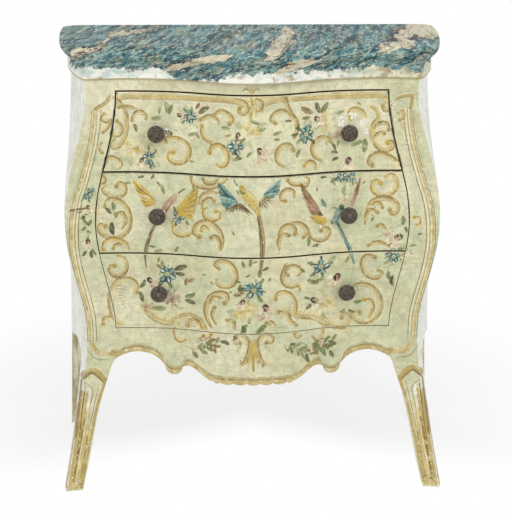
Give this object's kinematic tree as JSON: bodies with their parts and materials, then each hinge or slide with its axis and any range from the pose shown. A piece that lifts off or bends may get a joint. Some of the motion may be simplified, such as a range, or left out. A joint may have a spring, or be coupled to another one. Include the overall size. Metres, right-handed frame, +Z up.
{
  "type": "bombe chest of drawers",
  "caption": "Bombe chest with a serpentine front, drawers that slide forward, a moulded top, a scalloped apron and splayed legs.",
  "frame": {"origin": "on the floor, under the middle of the whole width and depth", "axes": "+Z up; the drawers face -Y; +X to the right as seen from the front; left and right are mirror images"},
  "size_m": [0.74, 0.424, 0.82],
  "materials": {
    "marbled_top": "painted, faux marble, aged",
    "marbled_moulding": "painted, faux marble and cream, aged",
    "painted_body": "painted, pale green with ochre lines, aged",
    "painted_drawer_front": "painted with scrolls, flowers and birds, aged",
    "turned_knob": "dark stained and waxed",
    "steel_screw": "dull",
    "thin_board": "bare, old",
    "bare_wood": "bare, old"
  },
  "bodies": {
    "carcass": {"apron_front": "painted_body", "back_panel": "thin_board", "bottom_drawer_guide_left": "bare_wood", "bottom_drawer_guide_right": "bare_wood", "bottom_drawer_runner_left": "bare_wood", "bottom_drawer_runner_right": "bare_wood", "bottom_rail": "bare_wood", "dust_board": "thin_board", "front_post_left": "painted_body", "front_post_right": "painted_body", "kicker_left": "bare_wood", "kicker_right": "bare_wood", "lower_divider_rail": "bare_wood", "middle_drawer_guide_left": "bare_wood", "middle_drawer_guide_right": "bare_wood", "middle_drawer_runner_left": "bare_wood", "middle_drawer_runner_right": "bare_wood", "rear_post_left": "painted_body", "rear_post_right": "painted_body", "side_panel_left": "painted_body", "side_panel_right": "painted_body", "top_board": "marbled_top", "top_drawer_guide_left": "bare_wood", "top_drawer_guide_right": "bare_wood", "top_drawer_runner_left": "bare_wood", "top_drawer_runner_right": "bare_wood", "top_moulding_front": "marbled_moulding", "top_moulding_left": "marbled_moulding", "top_moulding_rear": "marbled_moulding", "top_moulding_right": "marbled_moulding", "top_rail_front": "painted_body", "top_rail_rear": "bare_wood", "upper_divider_rail": "bare_wood"},
    "bottom_drawer": {"bottom_drawer_back": "bare_wood", "bottom_drawer_bottom": "thin_board", "bottom_drawer_front": "painted_drawer_front", "bottom_drawer_knob_screws": "steel_screw", "bottom_drawer_knobs": "turned_knob", "bottom_drawer_side_left": "bare_wood", "bottom_drawer_side_right": "bare_wood"},
    "middle_drawer": {"middle_drawer_back": "bare_wood", "middle_drawer_bottom": "thin_board", "middle_drawer_front": "painted_drawer_front", "middle_drawer_knob_screws": "steel_screw", "middle_drawer_knobs": "turned_knob", "middle_drawer_side_left": "bare_wood", "middle_drawer_side_right": "bare_wood"},
    "top_drawer": {"top_drawer_back": "bare_wood", "top_drawer_bottom": "thin_board", "top_drawer_front": "painted_drawer_front", "top_drawer_knob_screws": "steel_screw", "top_drawer_knobs": "turned_knob", "top_drawer_side_left": "bare_wood", "top_drawer_side_right": "bare_wood"}
  },
  "joints": [
    {"name": "bottom_drawer_slide", "type": "slide", "parent": "carcass", "child": "bottom_drawer", "axis": [0, -1, 0], "range_m": [0, 0.22]},
    {"name": "middle_drawer_slide", "type": "slide", "parent": "carcass", "child": "middle_drawer", "axis": [0, -1, 0], "range_m": [0, 0.22]},
    {"name": "top_drawer_slide", "type": "slide", "parent": "carcass", "child": "top_drawer", "axis": [0, -1, 0], "range_m": [0, 0.22]}
  ]
}
